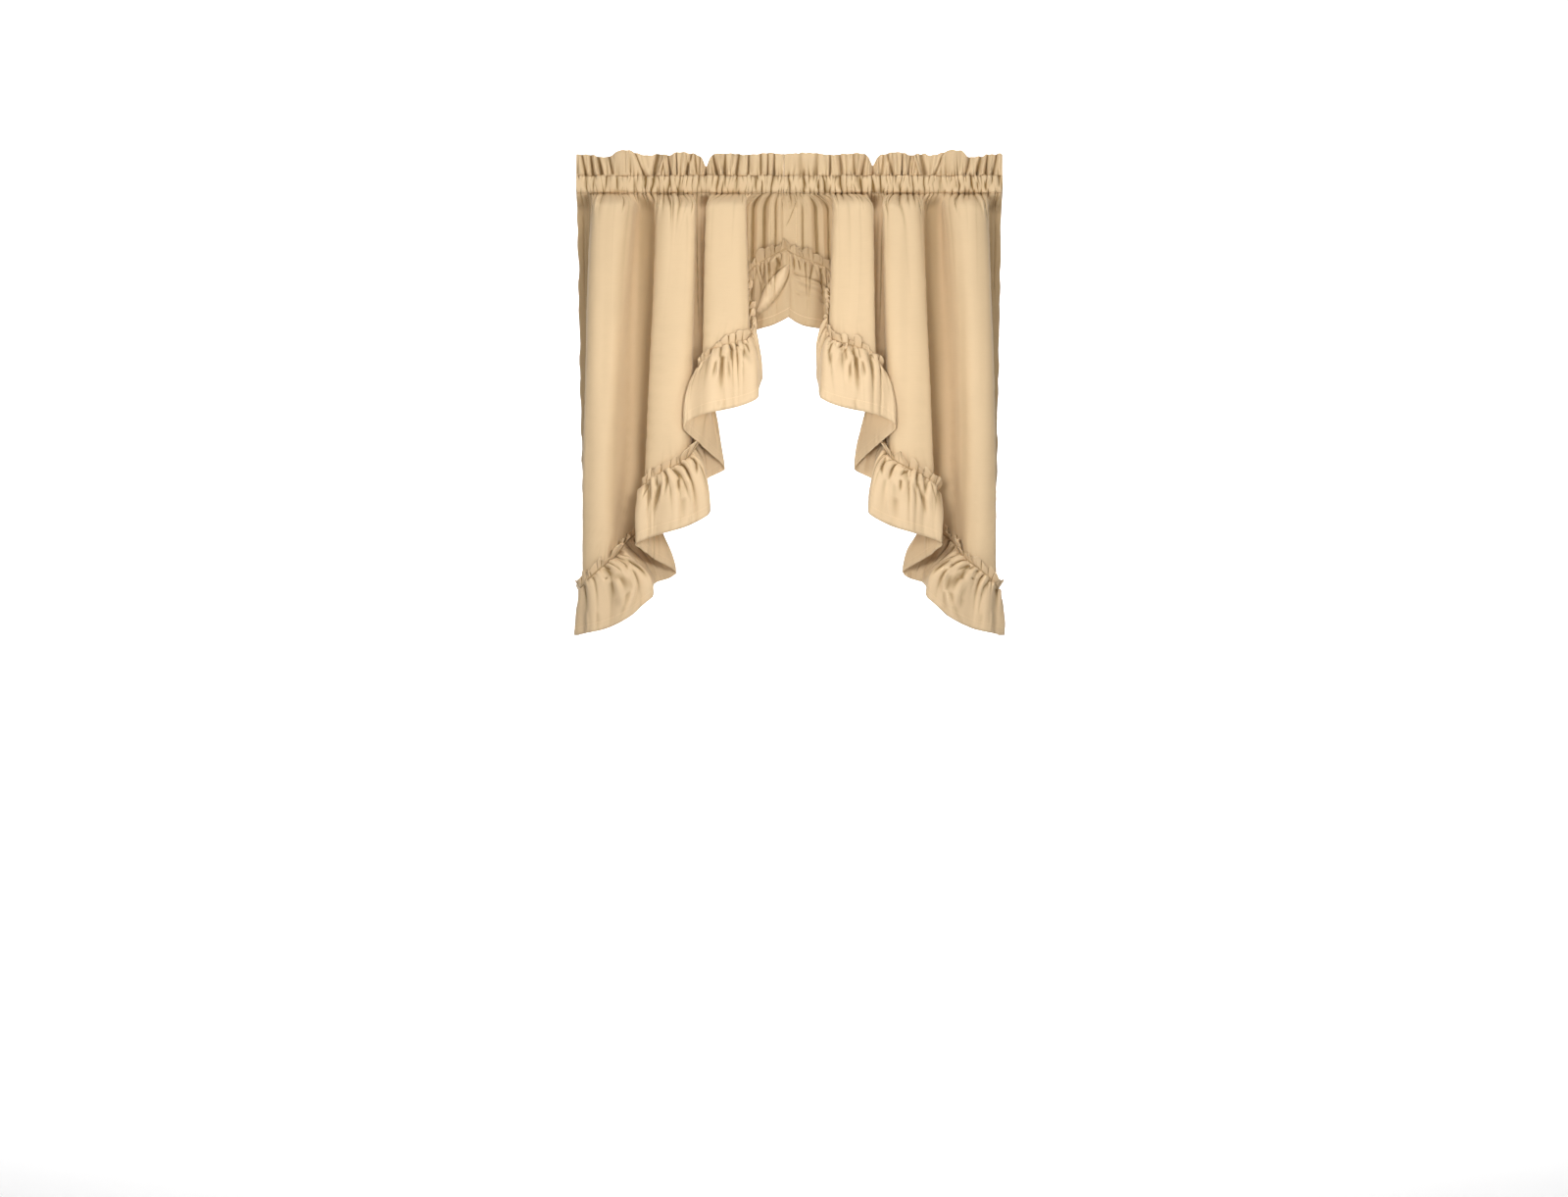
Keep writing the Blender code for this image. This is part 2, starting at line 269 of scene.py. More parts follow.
RUFFLE_CREASES = (
    (4.03, 50, 4.03, 115, 4.0, -4.0),
    (3.93, 62, 3.88, 108, 3.5, -3.0),
    (4.15, 58, 4.20, 94, 4.0, -2.5),
    (3.88, 6, 3.77, 48, 3.0, -3.5),
    (3.70, 6, 3.60, 42, 3.0, -3.5),
    (3.42, 18, 3.40, 58, 3.0, -3.0),
    (3.97, 46, 3.97, 110, 3.0, 2.5),
    (4.10, 52, 4.10, 104, 3.0, 2.5),
    (3.68, 40, 3.55, 92, 8.0, 2.0),
    (4.45, 14, 4.48, 52, 4.0, -2.5),
    (4.62, 20, 4.66, 70, 6.0, 1.6),
    (4.02, 126, 4.04, 138, 3.0, 2.5),
    (8.12, 14, 8.37, 69, 5.0, -5.0),
    (8.50, 14, 8.57, 69, 4.0, -4.0),
    (8.83, 56, 8.87, 84, 3.0, -3.0),
    (9.20, 46, 9.42, 112, 5.0, -4.5),
    (9.05, 40, 9.16, 84, 4.0, -3.0),
    (8.60, 69, 8.65, 135, 8.0, 3.0),
    (8.78, 99, 8.78, 131, 7.0, -2.5),
    (8.85, 18, 8.80, 48, 4.0, -3.5),
    (8.95, 10, 9.02, 60, 4.0, 2.5),
    (9.55, 20, 9.66, 70, 4.0, -2.5),
    (13.10, 34, 13.07, 94, 6.0, -4.5),
    (13.25, 41, 13.40, 69, 5.0, 3.5),
    (13.40, 66, 13.50, 112, 5.0, 3.0),
    (13.72, 48, 13.60, 104, 12.0, -4.0),
    (13.85, 62, 13.85, 104, 6.0, 3.0),
    (13.85, 100, 13.80, 124, 6.0, 2.5),
    (13.66, 100, 13.96, 137, 6.0, -2.6),
    (13.52, 100, 13.82, 138, 6.0, 2.2),
    (13.80, 2, 13.80, 28, 3.0, -4.0),
    (13.65, 7, 13.60, 55, 3.0, -3.5),
    (14.05, 44, 14.06, 52, 4.0, -2.5),
    (14.45, 112, 14.42, 138, 4.0, -1.6),
    (14.75, 104, 14.70, 138, 4.0, 1.6),
    (6.35, 20, 6.30, 110, 6.0, -2.5),
    (11.4, 20, 11.35, 110, 6.0, -2.5),
)
CENTRE_CREASES = {
    "left": (
        (1.05, 40, 1.35, 112, 9, -4.0),
        (1.45, 34, 1.60, 110, 6, -3.0),
        (0.92, 20, 1.02, 56, 4, -3.5),
        (0.70, 14, 0.65, 48, 5, 4.0),
        (1.22, 12, 1.25, 52, 4, 3.0),
        (0.45, 12, 0.35, 44, 4, -4.0),
        (1.60, 14, 1.62, 60, 4, 2.5),
    ),
    "right": (
        (0.30, 54, 1.30, 53, 4.5, -6.0),
        (1.00, 53, 2.10, 64, 4.5, -6.0),
        (0.30, 67, 2.10, 76, 8, 4.5),
        (0.45, 92, 1.67, 94, 3.5, -4.5),
        (1.27, 94, 2.05, 97, 3.5, -4.0),
        (0.60, 12, 0.66, 46, 4, -3.5),
        (0.90, 12, 0.92, 46, 4, 3.0),
        (1.15, 12, 1.20, 46, 4, -3.0),
        (1.40, 14, 1.46, 46, 4, 2.5),
        (1.62, 14, 1.66, 50, 4, -3.0),
        (0.25, 10, 0.35, 60, 5, 2.5),
    ),
}
# The leaf-shaped fold of the left ruffle at the join
LEAF = Crease(-0.15, 46, 1.22, 114, 15, 11.0)

# Folds of the frill: how far out each lies at its foot, on the stitch line, and at the frill's edge
Fold = namedtuple("Fold", "foot edge width height")
FRILL_FOLDS = (
    (418, 420, 4, 2.5),
    (406, 415, 4, -5),
    (399, 404, 4, 3),
    (391, 396, 3.5, -5),
    (383, 389, 4, 3.5),
    (373, 381, 5.5, -6),
    (352, 360, 4, -5.5),
    (330, 322, 12, 2.5),
    (289, 306, 3.5, -3.5),
    (283, 290, 5, 2),
    (271, 264, 6, -6.5),
    (262, 250, 3, 4.5),
    (245, 252, 3, 3.5),
    (236, 242, 3.5, -4.5),
    (230, 230, 4, 2.5),
    (224, 224, 2, -6),
    (214, 208, 5, 3.5),
    (206, 196, 4.5, -5.5),
    (196, 202, 4, 3),
    (185, 190, 4, -4.5),
    (176, 176, 3, 4.5),
    (167, 165, 4, -7),
    (157, 158, 3, 4),
    (144, 151, 4.5, -6),
    (137, 141, 4, 3.5),
    (130, 128, 4.5, -5),
    (120, 118, 5, 3),
    (107, 101, 5, -5.5),
    (95, 92, 5, 3),
    (82, 80, 3.5, -6),
    (70, 66, 8, 2.5),
)
INNER_FRILL_FOLDS = {
    "left": ((56, 57, 4, -3.5), (43, 44, 3, -4.5), (36, 36, 3, 3), (30, 31, 2.5, -5)),
    "right": ((52, 56, 6, -3.5), (24, 20, 9, -2), (4, 8, 8, 2)),
}


class Spline:
    """A smooth curve through rows of values, one row at each knot (a natural cubic spline)."""

    def __init__(self, knots, values):
        self.knots = np.asarray(knots, float)
        self.values = np.asarray(values, float).reshape(len(self.knots), -1)
        count = len(self.knots)
        gaps = np.diff(self.knots)
        slopes = np.diff(self.values, axis=0) / gaps[:, None]
        system = np.eye(count)
        right = np.zeros_like(self.values)
        for i in range(1, count - 1):
            system[i, i - 1 : i + 2] = gaps[i - 1], 2 * (gaps[i - 1] + gaps[i]), gaps[i]
            right[i] = 6 * (slopes[i] - slopes[i - 1])
        self.bends = np.linalg.solve(system, right)

    def __call__(self, where):
        where = np.asarray(where, float)
        last = len(self.knots) - 2
        i = np.clip(np.searchsorted(self.knots, where, side="right") - 1, 0, last)
        gap = self.knots[i + 1] - self.knots[i]
        a = ((self.knots[i + 1] - where) / gap)[:, None]
        b = 1 - a
        bends = (a**3 - a) * self.bends[i] + (b**3 - b) * self.bends[i + 1]
        return a * self.values[i] + b * self.values[i + 1] + bends * (gap**2)[:, None] / 6


class Gathers:
    """An uneven row of gathers along a stitch line: round ridges, 0 to 1 high, parted by narrow valleys."""

    def __init__(self, first, last, row, seed):
        self.row = row
        chance = np.random.default_rng(seed)
        count = int((last - first) / row.pitch / (1 - row.unevenness)) + 6
        widths = row.pitch * chance.uniform(1 - row.unevenness, 1 + row.unevenness, count)
        self.starts = first - 2 * row.pitch + np.concatenate([[0], np.cumsum(widths)])
        self.middles = (self.starts[1:] + self.starts[:-1]) / 2
        self.heights = chance.uniform(row.least, 1, count)
        self.reaches = chance.uniform(0.45, 1.6, count)
        self.leans = chance.uniform(-1, 1, count)

    def phase(self, where):
        turn = np.clip(np.searchsorted(self.starts, where) - 1, 0, len(self.heights) - 1)
        share = (where - self.starts[turn]) / (self.starts[turn + 1] - self.starts[turn])
        return turn, np.clip(share, 0, 1)

    def __call__(self, where):
        turn, share = self.phase(where)
        return self.heights[turn] * np.sin(math.pi * share) ** 0.8

    def relief(self, where):
        """How far the ridges stand above the cloth and the valleys lie below it."""
        return self.row.height * (self(where) - self.row.sunk)

    def sideways(self, where):
        """How far the cloth of a ridge is pushed aside, which makes its flanks steep, from -1 to 1."""
        turn, share = self.phase(where)
        return -self.heights[turn] * np.sin(2 * math.pi * share)

    def reach(self, where):
        """How far a gather runs, changing smoothly from one to the next."""
        return np.interp(where, self.middles, self.reaches)

    def lean(self, where):
        """How far a gather leans aside on its way, changing smoothly from one to the next."""
        return np.interp(where, self.middles, self.leans)


class Swells:
    """A soft uneven field over a sheet, from about -1 to 1, with its own width across and down."""

    WAVES = 7

    def __init__(self, across, down, seed):
        chance = np.random.default_rng(seed)
        turns = chance.uniform(0, 2 * math.pi, self.WAVES)
        sizes = chance.uniform(0.6, 1.3, self.WAVES)
        self.across = 2 * math.pi * np.cos(turns) * sizes / across
        self.down = 2 * math.pi * np.sin(turns) * sizes / down
        self.starts = chance.uniform(0, 2 * math.pi, self.WAVES)

    def __call__(self, across, down):
        total = sum(
            np.sin(a * across + d * down + s) for a, d, s in zip(self.across, self.down, self.starts)
        )
        return total / math.sqrt(len(self.starts))


def meeting_out(side, out=MEETING_OUT):
    """Where a swag's inner edge lies: the two swags meet a little to the left of the middle."""
    return -side * out + SEWN_GAP / 2


def stations(level, side):
    """The turning points of the cloth from the middle outwards: out, forward, drop, settles, balloons."""
    rows = []
    for section in SECTIONS:
        row = level[section]
        habits = HABITS[section].settles, HABITS[section].balloons
        drops = (row.inner_drop, row.drop, row.outer_drop) if isinstance(row, Edge) else (0, 0, 0)
        inner = meeting_out(side, row.inner) if section == "centre" else row.inner
        rows.append((inner, row.forward - row.inner_back, drops[0], *habits))
        if section in STANDING:
            rows.append(((inner + row.outer) / 2, row.forward, drops[1], *habits))
        rows.append((row.outer, row.forward - row.outer_back, drops[2], *habits))
    return np.array(rows, float)


def softened(knots, rows, samples):
    """The smooth curve through the turning points, with no bend sharper than cloth takes."""
    fine = np.linspace(knots[0], knots[-1], int((knots[-1] - knots[0]) / 2) + 1)
    curve = Spline(knots, rows)(fine)
    weights = bell(fine[1] - fine[0], BEND_RADIUS)
    count = len(weights) // 2
    before = 2 * curve[0] - curve[count:0:-1]
    after = 2 * curve[-1] - curve[-2 : -count - 2 : -1]
    whole = np.concatenate([before, curve, after])
    soft = np.stack([np.convolve(column, weights, mode="valid") for column in whole.T], axis=1)
    return Spline(fine, soft)(samples)


def lengths_along(line):
    """How far each point of a line of out, forward and drop lies from its start."""
    return np.concatenate([[0], np.cumsum(np.linalg.norm(np.diff(line[:, :3], axis=0), axis=1))])


def unit(vectors):
    """The same directions with a length of 1."""
    return vectors / np.maximum(np.linalg.norm(vectors, axis=-1), 1e-9)[..., None]


def outwards(grid):
    """The direction square to a sheet of points, towards its right side."""
    along = np.gradient(grid, axis=1)
    down = np.gradient(grid, axis=0)
    return unit(np.cross(down, along))


def smooth(low, high, value):
    """0 below low, 1 above high and an even rise between them."""
    share = np.clip((value - low) / (high - low), 0, 1)
    return share * share * (3 - 2 * share)


def near(distance, reach, power=2):
    """1 where the distance is 0, falling off smoothly over the reach on either side."""
    return np.exp(-((distance / reach) ** power))


def bell(step, reach):
    """Weights for the points on either side of one, which fall off over the reach and add up to 1."""
    count = int(3 * reach / step) + 1
    weights = np.exp(-0.5 * (np.arange(-count, count + 1) * step / reach) ** 2)
    return weights / weights.sum()


def beside(across, down, crease, place):
    """How far the points of a sheet lie along a crease's line, from 0 to 1, and how far off it."""
    start, end = place(crease.station), place(crease.to_station)
    run_across, run_down = end - start, crease.to_down - crease.down
    length = math.hypot(run_across, run_down)
    share = ((across - start) * run_across + (down - crease.down) * run_down) / length**2
    off = ((across - start) * run_down - (down - crease.down) * run_across) / length
    return share, off


def creased(across, down, creases, place):
    """The relief of the listed creases over a sheet whose points lie at across and down."""
    relief = np.zeros_like(across)
    for crease in map(Crease._make, creases):
        share, off = beside(across, down, crease, place)
        taper = smooth(-0.08, 0.14, share) * smooth(-0.12, 0.55, 1 - share)
        off = off / (CREASE_WIDTH * crease.width)
        shape = (1 - 0.9 * off**2) * np.exp(-(off**2))
        relief += CREASE_DEPTH * crease.height * taper * shape
    return relief


def valleys(relief, spacing, reach, depth):
    """How deep each point lies in a narrow valley beside the cloth around it, from 0 to 1."""
    weights = bell(spacing, reach)
    count = len(weights) // 2
    padded = np.pad(relief, ((0, 0), (count, count)), mode="edge")
    around = np.stack([np.convolve(row, weights, mode="valid") for row in padded])
    return np.clip((around - relief) / depth, 0, 1)


def leaf_fold(across, down, leaf, place):
    """A pointed fold that lies on the cloth: high along its lower rim and tucked under its upper one."""
    share, off = beside(across, down, leaf, place)
    half = leaf.width * np.sin(math.pi * np.clip(share, 0, 1)) ** 0.8 + 1e-3
    inside = np.clip(1 - (off / half) ** 2, 0, 1) ** 0.75 * (np.clip(share, 0, 1) == share)
    groove = near(np.abs(off) - half - 2, 2.2) * smooth(0, 0.15, share) * smooth(0, 0.15, 1 - share)
    return leaf.height * inside - 4.0 * groove


class Swag:
    """The curves of one swag: where the cloth runs below the pocket, at the seam and at the hem."""

    def __init__(self, side, columns, even_seam=False):
        self.side = side
        self.word = "left" if side < 0 else "right"
        top, seam, hem = (stations(level, side) for level in (TOP, SEAM, HEM))
        lengths = [np.linalg.norm(np.diff(level[:, :2], axis=0), axis=1) for level in (top, seam)]
        self.knots = np.concatenate([[0], np.cumsum(sum(lengths) / 2)])
        self.along = np.linspace(0, self.knots[-1], columns + 1)
        if even_seam:
            run = lengths_along(softened(self.knots, seam, self.along))
            self.along = np.interp(np.linspace(0, run[-1], columns + 1), run, self.along)
        self.station = np.interp(self.along, self.knots, np.arange(len(self.knots)))
        self.top, self.seam, self.hem = (softened(self.knots, rows, self.along) for rows in (top, seam, hem))
        self.seam_run = lengths_along(self.seam)
        self.settles = np.interp(self.along, self.knots, seam[:, 3])
        self.balloons = np.interp(self.along, self.knots, seam[:, 4]) ** 2
        self.heading_out = self.spread_heading()
        self.seed = 10 if side < 0 else 60

    def spread_heading(self):
        """At the rod the cloth lies straight, so its out only grows along the cloth."""
        out = np.maximum.accumulate(self.top[:, 0])
        first, last = meeting_out(self.side), HALF_WIDTH
        out = np.interp(out, (out[0], out[-1]), (first, last))
        even = np.interp(self.along, (self.along[0], self.along[-1]), (first, last))
        return out + HEADING_EVENNESS * (even - out)

    def panel_row(self, drop):
        """Points of the cloth at one drop for each column, as (out, forward, drop)."""
        start = POCKET_HALF_HEIGHT + SOLID_CLOTH / 2 + SEWN_GAP
        fallen = np.clip((drop - start) / (self.seam[:, 2] - start), 0, 1)
        fallen = (1 - (1 - fallen) ** self.settles)[:, None]
        hanging = self.top[:, :2] * (1 - fallen) + self.seam[:, :2] * fallen
        broken = np.clip((drop - start - TAB) / BREAK_OUT, 0, 1)[:, None]
        broken = 1 - (1 - broken) ** 2.4
        straight = np.stack([self.heading_out, np.zeros_like(drop)], axis=1)
        return np.column_stack([straight * (1 - broken) + hanging * broken, drop])

    def across(self, row):
        """The direction square to the cloth, towards its right side, seen from above."""
        along = np.gradient(row[:, :2], axis=0)
        along[0] = 1, 0
        return unit(np.stack([-along[:, 1], along[:, 0]], axis=1))

    def at_station(self, station):
        """How far along the cloth a turning point lies."""
        return np.interp(station, np.arange(len(self.knots)), self.knots)


class RodGathers:
    """The gathers at the pocket's two stitch lines, which the pocket, the panel and the frill share."""

    LEAN = 0.3

    def __init__(self, seed):
        self.lower = Gathers(-20, HALF_WIDTH, ROD_LOWER, seed)
        self.upper = Gathers(-20, HALF_WIDTH, ROD_UPPER, seed + 1)
        self.broad = Gathers(-20, HALF_WIDTH, ROD_BROAD, seed + 2)
        self.strength = Swells(130, ENDLESS, seed + 3)

    def from_stitches(self, out, height):
        """How far the cloth lies from the upper and the lower line, and where its gathers start on them."""
        below = (1 - height) * POCKET_HALF_HEIGHT
        above = (1 + height) * POCKET_HALF_HEIGHT
        upper_out = out + self.LEAN * below * self.upper.lean(out)
        lower_out = out + self.LEAN * above * self.lower.lean(out)
        return below, above, upper_out, lower_out

    def at(self, out, height):
        """The ripple of the cloth at a height of -1, the lower stitch line, to 1, the upper one."""
        below, above, upper_out, lower_out = self.from_stitches(out, height)
        ripple = self.upper.relief(upper_out) * near(below, ROD_UPPER.reach * self.upper.reach(out), 1.6)
        ripple += self.lower.relief(lower_out) * near(above, ROD_LOWER.reach * self.lower.reach(out), 1.6)
        ripple += self.broad.relief(out + 0.12 * height * POCKET_HALF_HEIGHT)
        return ripple * (0.85 + 0.3 * self.strength(out, 0))

    def teeth(self, out):
        """How far each gather lifts the upper stitch line, which makes it ragged."""
        return TOOTH_HEIGHT * (self.upper(out) - ROD_UPPER.sunk)

    def sideways(self, out, height):
        """How far the gathers push the cloth along the rod."""
        below, above, upper_out, lower_out = self.from_stitches(out, height)
        push = self.upper.sideways(upper_out) * near(below, 12)
        push += self.lower.sideways(lower_out) * near(above, 10)
        return 1.5 * push * smooth(0, 8, out - out.min()) * smooth(0, 8, out.max() - out)


def habit_along(swag, name):
    """One habit of the sections, made to change smoothly along the swag."""
    middles = []
    first = 0
    for section in SECTIONS:
        last = first + (2 if section in STANDING else 1)
        middles.append(swag.at_station((first + last) / 2))
        first = last + 1
    return np.interp(swag.along, middles, [getattr(HABITS[section], name) for section in SECTIONS])


def in_centre(swag, along):
    """1 on the recessed cloth between the two inner folds and 0 beyond it."""
    return 1 - smooth(*swag.at_station(CENTRE_ENDS), along)


def bunched(swag):
    """Where the ruffle bunches up at the inner edges of the folds, from 0 to 1."""
    return sum(near(swag.station - station, half) for station, half in BUNCHES)


def panel_sheet(swag, rod):
    """The panel from the stitch line under the pocket to its edge, which is hidden behind the ruffle."""
    deeper = sum(near(swag.station - station, 0.6) for station in DEEPER_STATIONS)
    length = swag.seam[:, 2] + TUCKED_BEHIND + TUCKED_DEEPER * deeper - STITCH_HEIGHT
    step = np.linspace(0, 1, PANEL_ROWS + 1)[:, None]
    top_run, middle = 1.3 * PANEL_ROWS, 0.62
    even = np.where(step < 0.5, step / 0.5 * middle, middle + (step - 0.5) / 0.5 * (1 - middle))
    drop = STITCH_HEIGHT + top_run * step + (length - top_run) * even**1.7
    grid = np.stack([swag.panel_row(row) for row in drop])
    below = drop - STITCH_HEIGHT
    above_seam = swag.seam[:, 2] - drop
    along = np.broadcast_to(swag.along, drop.shape)
    out = grid[..., 0]
    edge_run = swag.along[-1] - along
    inner_edge, outer_edge = smooth(0, 14, along), smooth(0, 14, edge_run)

    # Gathers from the stitch line under the pocket
    reach = habit_along(swag, "reach") * rod.lower.reach(swag.heading_out)
    leaning = swag.heading_out + 0.25 * below * rod.lower.lean(swag.heading_out)
    relief = rod.at(leaning, -1) * near(below, reach + 2, 1.3)
    relief *= 1 + (habit_along(swag, "strength") - 1) * smooth(0, 8, below)

    # Soft standing folds and uneven hang
    folds = Gathers(0, swag.along[-1], PANEL_FOLDS, swag.seed + 4)
    wander = along + 5 * np.sin(below / 90 + along / 60)
    standing = smooth(4, 30, below) * smooth(0, 60, above_seam)
    relief += folds.relief(wander) * standing * np.exp(-below / PANEL_FOLDS.reach)
    relief += 0.8 * Swells(36, 460, swag.seed + 5)(along, below) * standing
    relief += 0.35 * Swells(90, 26, swag.seed + 7)(along, below) * standing

    # Puckers that the gathered ruffle pulls into the cloth above its seam
    pulls = Gathers(0, swag.along[-1], SEAM_PULLS, swag.seed + 6)
    pulled = near(np.abs(above_seam), SEAM_PULLS.reach * pulls.reach(along), 1.6)
    relief += pulls.relief(along + 0.25 * above_seam * pulls.lean(along)) * pulled

    # Side hems, with their stitches and the cloth drawn up along them
    drawn = Gathers(0, 900, SIDE_HEM_TUGS, swag.seed + 8)
    for run in (along, edge_run):
        strip = 1 - smooth(SIDE_HEM - 1, SIDE_HEM + 1, run)
        relief += 0.5 * strip - 0.7 * near(run - SIDE_HEM, 1.4)
        tugs = near(run - SIDE_HEM, SIDE_HEM_TUGS.reach) + 0.6 * near(run, 8)
        relief += drawn.relief(drop + 0.4 * run) * tugs * smooth(10, 60, below)
    creases = PANEL_CREASES + INNER_CREASES[swag.word]
    relief += creased(along, drop, creases, swag.at_station)
    relief = np.where(below <= 0, rod.at(swag.heading_out, -1), relief)

    # Painted shade: darker in the gathers, on the side strip, in the gap between the outer folds and in the
    # middle
    shade = 0.78 * valleys(relief, swag.along[1], reach=4.5, depth=1.8)
    on_side = smooth(*swag.at_station(SIDE_STARTS), along)
    shade = np.maximum(shade, SIDE_SHADE * on_side * smooth(0, 10, below))
    in_gap = near(along - swag.at_station(GAP_MIDDLE), 21, 4) * smooth(0, 20, below)
    shade = np.maximum(shade, (GAP_SHADE - GAP_SHADE_LOST * smooth(300, 700, drop)) * in_gap)
    shade = np.maximum(shade, CENTRE_SHADE * in_centre(swag, along))
    square = outwards(grid)
    rooted = smooth(0, 12, below)[..., None]
    square = square * rooted + np.array([0, 1, 0]) * (1 - rooted)
    grid = grid + square * relief[..., None]
    grid[..., 1] += (2.0 if swag.side > 0 else -0.6) * (1 - inner_edge) * smooth(0, 30, below)
    if swag.side > 0:
        grid[..., 0] -= 2.5 * (1 - inner_edge) * smooth(0, 30, below)
    wavering = Swells(ENDLESS, 60, swag.seed + 9)(along, below)
    grid[..., 0] += 1.2 * (1 - outer_edge) * wavering * smooth(20, 80, below)
    flat_across = np.broadcast_to(swag.along / swag.along[-1] * PANEL_FLAT[0] / MM, drop.shape)
    return grid, flat_across, below, shade


def ruffle_sheet(swag):
    """The gathered ruffle: a short heading that stands off the panel, the seam, then the skirt."""
    seam_drop = swag.seam[:, 2]
    clear = SOLID_CLOTH + 2 * SEWN_GAP
    run = swag.seam_run
    crinkles = Gathers(0, run[-1], HEADING_CRINKLES, swag.seed + 11)
    fine = Gathers(0, run[-1], RUFFLE_FINE, swag.seed + 12)
    medium = Gathers(0, run[-1], RUFFLE_MEDIUM, swag.seed + 18)
    broad = Gathers(0, run[-1], RUFFLE_BROAD, swag.seed + 13)
    in_gap = 1 - swag.balloons
    bunch = bunched(swag)
    tilt = Swells(46, ENDLESS, swag.seed + 17)(run, 0)
    rise = HEADING_RISE + RISE_CHANGE * Swells(34, ENDLESS, swag.seed + 14)(run, 0)
    rise = rise + 7.0 * (crinkles(run) - 0.4) + 3.0 * (fine(run) - 0.4) + 3.0 * bunch
    tangent = unit(np.gradient(swag.seam[:, :3], axis=0))
    ends = smooth(0, 12, run) * smooth(0, 12, run[-1] - run)
    rows, flat_down, bumps = [], [], []
    for share in np.linspace(1, 0, HEADING_ROWS, endpoint=False):
        up = share * rise
        row = swag.panel_row(seam_drop - up)
        leaning = run + 5 * share * crinkles.lean(run)
        standing = (0.25 + 0.75 * share) * share**0.5
        bump = (HEADING_CRINKLES.height + 2.0 * in_gap + 5.0 * bunch) * crinkles(leaning) * standing
        bump += 3.0 * fine(run + 3 * share * fine.lean(run)) * share**0.4 * (1 - 0.5 * share)
        lean = HEADING_LEAN * share + bump + 3.0 * tilt * share * ends
        row[:, :2] += swag.across(row) * (clear + np.maximum(lean, 0))[:, None]
        row += tangent * ((4.4 + 1.5 * bunch) * crinkles.sideways(leaning) * standing * ends)[:, None]
        rows.append(row)
        flat_down.append(-up)
        bumps.append(bump)
    root = swag.panel_row(seam_drop)
    root[:, :2] += swag.across(root) * clear
    fall = swag.hem[:, :3] - root
    spread, early_fall, late_fall = (
        (straight + (swollen - straight) * swag.balloons)[:, None]
        for straight, swollen in (EARLY_SPREAD, EARLY_FALL, LATE_FALL)
    )
    early = root + fall * np.hstack([spread, spread, early_fall])
    late = root + fall * np.hstack([np.ones_like(fall[:, :2]), late_fall])
    gather = np.sin(2 * math.pi * GATHERS_PER_STATION * swag.station)
    gather *= GATHER_DEPTH * np.clip(swag.station, 0, 1) * (0.4 + 0.6 * swag.balloons)
    for share in np.linspace(0, 1, SKIRT_ROWS + 1) ** 1.2:
        rest = 1 - share
        row = rest**3 * root + 3 * rest**2 * share * early
        row += 3 * rest * share**2 * late + share**3 * swag.hem[:, :3]
        row[:, :2] += swag.across(row) * (gather * math.sqrt(share))[:, None]
        rows.append(row)
        flat_down.append(np.full_like(seam_drop, share * SKIRT_DEPTH))
    grid = np.stack(rows)
    flat_down = np.stack(flat_down)

    along = np.broadcast_to(swag.along, flat_down.shape)
    run = np.broadcast_to(run, flat_down.shape)
    below = np.maximum(flat_down, 0)
    wander = run + 0.16 * below * fine.lean(run)
    near_seam = smooth(0, 7, below) * near(below, RUFFLE_FINE.reach * fine.reach(run), 1.6)
    relief = (1 + 0.5 * bunch) * fine.relief(wander) * near_seam
    ridges = medium.relief(run + 0.18 * below * medium.lean(run))
    relief += ridges * smooth(0, 12, below) * near(below, RUFFLE_MEDIUM.reach * medium.reach(run), 1.8)
    ridges = broad.relief(run + 0.2 * below * broad.lean(run))
    relief += ridges * smooth(0, 24, below) * near(below, RUFFLE_BROAD.reach * broad.reach(run))
    relief += Swells(46, 80, swag.seed + 15)(along, below) * smooth(10, 50, below)
    side_push = 2.2 * fine.sideways(wander) * near_seam

    # The hem with its line of stitches and the cloth drawn up along it
    above_hem = SKIRT_DEPTH - below
    hem_gathers = Gathers(0, run[0, -1], RUFFLE_HEM, swag.seed + 16)
    drawn_up = near(above_hem, RUFFLE_HEM.reach * hem_gathers.reach(run))
    relief += hem_gathers.relief(run) * drawn_up
    relief -= 0.6 * near(above_hem - LOWER_HEM, 1.6)
    creases = RUFFLE_CREASES + CENTRE_CREASES[swag.word]
    relief += creased(along, below, creases, swag.at_station) * smooth(0, 4, below)
    leaf = leaf_fold(along, below, LEAF, swag.at_station) if swag.side < 0 else 0 * along
    relief += leaf * smooth(0, 20, below)
    relief[:HEADING_ROWS] = bumps
